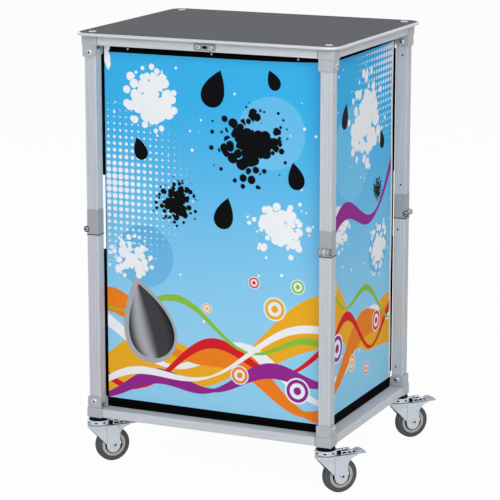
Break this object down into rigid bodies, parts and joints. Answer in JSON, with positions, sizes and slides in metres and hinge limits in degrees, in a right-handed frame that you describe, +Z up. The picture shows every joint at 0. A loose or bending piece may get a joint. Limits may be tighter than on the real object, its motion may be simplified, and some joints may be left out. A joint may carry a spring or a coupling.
{
  "type": "portable serving station",
  "caption": "Folding serving counter: a round-cornered top on square posts with knee hinges, printed sheets hung between the rails, and braked swivel casters at the corners",
  "frame": {"origin": "on the floor, midway between the four posts", "axes": "+Z up; -Y is the printed front, +X is the right-hand side seen from the front"},
  "size_m": [0.6695, 0.5678, 0.996],
  "materials": {
    "silver_frame": "satin silver, drawn along its length",
    "cast_bracket": "silver grey casting",
    "cast_knee": "grey casting",
    "zinc_steel": "bright zinc plate",
    "hub_plastic": "light grey moulding",
    "grey_tyre": "grey rubber",
    "pedal_steel": "grey enamel",
    "dark_board": "dark grey, satin",
    "silver_rim": "bright silver edge trim",
    "hook_tape": "black hook tape",
    "printed_sheet": "printed film, pale blue"
  },
  "bodies": {
    "base": {"base_rail_front": "silver_frame", "base_rail_right": "silver_frame", "base_rail_rear": "silver_frame", "base_rail_left": "silver_frame", "base_bracket_front_left": "cast_bracket", "base_bracket_front_right": "cast_bracket", "base_bracket_rear_right": "cast_bracket", "base_bracket_rear_left": "cast_bracket", "base_pivot_bolts": "zinc_steel", "caster_heads": "zinc_steel", "base_hook_strips": "hook_tape", "front_sheet": "printed_sheet", "right_sheet": "printed_sheet", "left_sheet": "printed_sheet"},
    "lower_front_left": {"lower_tube_front_left": "silver_frame", "knee_fitting_front_left": "cast_knee"},
    "upper_front_left": {"upper_tube_front_left": "silver_frame", "knee_sleeve_front_left": "cast_knee"},
    "lower_front_right": {"lower_tube_front_right": "silver_frame", "knee_fitting_front_right": "cast_knee"},
    "upper_front_right": {"upper_tube_front_right": "silver_frame", "knee_sleeve_front_right": "cast_knee"},
    "lower_rear_right": {"lower_tube_rear_right": "silver_frame", "knee_fitting_rear_right": "cast_knee"},
    "upper_rear_right": {"upper_tube_rear_right": "silver_frame", "knee_sleeve_rear_right": "cast_knee"},
    "lower_rear_left": {"lower_tube_rear_left": "silver_frame", "knee_fitting_rear_left": "cast_knee"},
    "upper_rear_left": {"upper_tube_rear_left": "silver_frame", "knee_sleeve_rear_left": "cast_knee"},
    "top_frame": {"top_rail_front": "silver_frame", "top_rail_right": "silver_frame", "top_rail_rear": "silver_frame", "top_rail_left": "silver_frame", "top_bracket_front_left": "cast_bracket", "top_bracket_front_right": "cast_bracket", "top_bracket_rear_right": "cast_bracket", "top_bracket_rear_left": "cast_bracket", "top_pivot_bolts": "zinc_steel", "top_hook_strips": "hook_tape", "catch_plate": "zinc_steel", "tabletop_board": "dark_board", "tabletop_rim": "silver_rim", "tabletop_screws": "zinc_steel"},
    "swivel_front_left": {"fork_front_left": "zinc_steel"},
    "wheel_front_left": {"hub_front_left": "hub_plastic", "tyre_front_left": "grey_tyre"},
    "pedal_front_left": {"pedal_front_left": "pedal_steel"},
    "swivel_front_right": {"fork_front_right": "zinc_steel"},
    "wheel_front_right": {"hub_front_right": "hub_plastic", "tyre_front_right": "grey_tyre"},
    "pedal_front_right": {"pedal_front_right": "pedal_steel"},
    "swivel_rear_right": {"fork_rear_right": "zinc_steel"},
    "wheel_rear_right": {"hub_rear_right": "hub_plastic", "tyre_rear_right": "grey_tyre"},
    "pedal_rear_right": {"pedal_rear_right": "pedal_steel"},
    "swivel_rear_left": {"fork_rear_left": "zinc_steel"},
    "wheel_rear_left": {"hub_rear_left": "hub_plastic", "tyre_rear_left": "grey_tyre"},
    "pedal_rear_left": {"pedal_rear_left": "pedal_steel"}
  },
  "joints": [
    {"name": "fold", "type": "hinge", "parent": "base", "child": "lower_front_left", "pos_m": [-0.283, -0.227, 0.1485], "axis": [0, 1, 0], "range_deg": [0, 90], "deforming": ["front_sheet", "right_sheet", "left_sheet"]},
    {"name": "knee_front_left", "type": "hinge", "parent": "lower_front_left", "child": "upper_front_left", "pos_m": [-0.2982, -0.227, 0.55], "axis": [0, 1, 0], "range_deg": [-180, 0]},
    {"name": "fold_front_right", "type": "hinge", "parent": "base", "child": "lower_front_right", "pos_m": [0.283, -0.227, 0.1485], "axis": [-1, 0, 0], "range_deg": [0, 90]},
    {"name": "knee_front_right", "type": "hinge", "parent": "lower_front_right", "child": "upper_front_right", "pos_m": [0.283, -0.2422, 0.55], "axis": [-1, 0, 0], "range_deg": [-180, 0]},
    {"name": "fold_rear_right", "type": "hinge", "parent": "base", "child": "lower_rear_right", "pos_m": [0.283, 0.227, 0.1485], "axis": [0, -1, 0], "range_deg": [0, 90]},
    {"name": "knee_rear_right", "type": "hinge", "parent": "lower_rear_right", "child": "upper_rear_right", "pos_m": [0.2982, 0.227, 0.55], "axis": [0, -1, 0], "range_deg": [-180, 0]},
    {"name": "fold_rear_left", "type": "hinge", "parent": "base", "child": "lower_rear_left", "pos_m": [-0.283, 0.227, 0.1485], "axis": [1, 0, 0], "range_deg": [0, 90]},
    {"name": "knee_rear_left", "type": "hinge", "parent": "lower_rear_left", "child": "upper_rear_left", "pos_m": [-0.283, 0.2422, 0.55], "axis": [1, 0, 0], "range_deg": [-180, 0]},
    {"name": "top_pivot", "type": "hinge", "parent": "upper_front_left", "child": "top_frame", "pos_m": [-0.283, -0.227, 0.9515], "axis": [0, 1, 0], "range_deg": [0, 90]},
    {"name": "swivel_front_left", "type": "hinge", "parent": "base", "child": "swivel_front_left", "pos_m": [-0.283, -0.227, 0.087], "axis": [0, 0, 1], "continuous": true},
    {"name": "roll_front_left", "type": "hinge", "parent": "swivel_front_left", "child": "wheel_front_left", "pos_m": [-0.26115, -0.20095, 0.04], "axis": [0.766, -0.6428, 0], "continuous": true},
    {"name": "brake_front_left", "type": "hinge", "parent": "swivel_front_left", "child": "pedal_front_left", "pos_m": [-0.25472, -0.19329, 0.084], "axis": [-0.766, 0.6428, 0], "range_deg": [0, 12]},
    {"name": "swivel_front_right", "type": "hinge", "parent": "base", "child": "swivel_front_right", "pos_m": [0.283, -0.227, 0.087], "axis": [0, 0, 1], "continuous": true},
    {"name": "roll_front_right", "type": "hinge", "parent": "swivel_front_right", "child": "wheel_front_right", "pos_m": [0.30485, -0.20095, 0.04], "axis": [0.766, -0.6428, 0], "continuous": true},
    {"name": "brake_front_right", "type": "hinge", "parent": "swivel_front_right", "child": "pedal_front_right", "pos_m": [0.31128, -0.19329, 0.084], "axis": [-0.766, 0.6428, 0], "range_deg": [0, 12]},
    {"name": "swivel_rear_right", "type": "hinge", "parent": "base", "child": "swivel_rear_right", "pos_m": [0.283, 0.227, 0.087], "axis": [0, 0, 1], "continuous": true},
    {"name": "roll_rear_right", "type": "hinge", "parent": "swivel_rear_right", "child": "wheel_rear_right", "pos_m": [0.30485, 0.25305, 0.04], "axis": [0.766, -0.6428, 0], "continuous": true},
    {"name": "brake_rear_right", "type": "hinge", "parent": "swivel_rear_right", "child": "pedal_rear_right", "pos_m": [0.31128, 0.26071, 0.084], "axis": [-0.766, 0.6428, 0], "range_deg": [0, 12]},
    {"name": "swivel_rear_left", "type": "hinge", "parent": "base", "child": "swivel_rear_left", "pos_m": [-0.283, 0.227, 0.087], "axis": [0, 0, 1], "continuous": true},
    {"name": "roll_rear_left", "type": "hinge", "parent": "swivel_rear_left", "child": "wheel_rear_left", "pos_m": [-0.26115, 0.25305, 0.04], "axis": [0.766, -0.6428, 0], "continuous": true},
    {"name": "brake_rear_left", "type": "hinge", "parent": "swivel_rear_left", "child": "pedal_rear_left", "pos_m": [-0.25472, 0.26071, 0.084], "axis": [-0.766, 0.6428, 0], "range_deg": [0, 12]}
  ],
  "couplings": [
    {"joint": "knee_front_left", "follows": "fold", "ratio": -2},
    {"joint": "fold_front_right", "follows": "fold", "ratio": 1},
    {"joint": "knee_front_right", "follows": "fold", "ratio": -2},
    {"joint": "fold_rear_right", "follows": "fold", "ratio": 1},
    {"joint": "knee_rear_right", "follows": "fold", "ratio": -2},
    {"joint": "fold_rear_left", "follows": "fold", "ratio": 1},
    {"joint": "knee_rear_left", "follows": "fold", "ratio": -2},
    {"joint": "top_pivot", "follows": "fold", "ratio": 1}
  ]
}
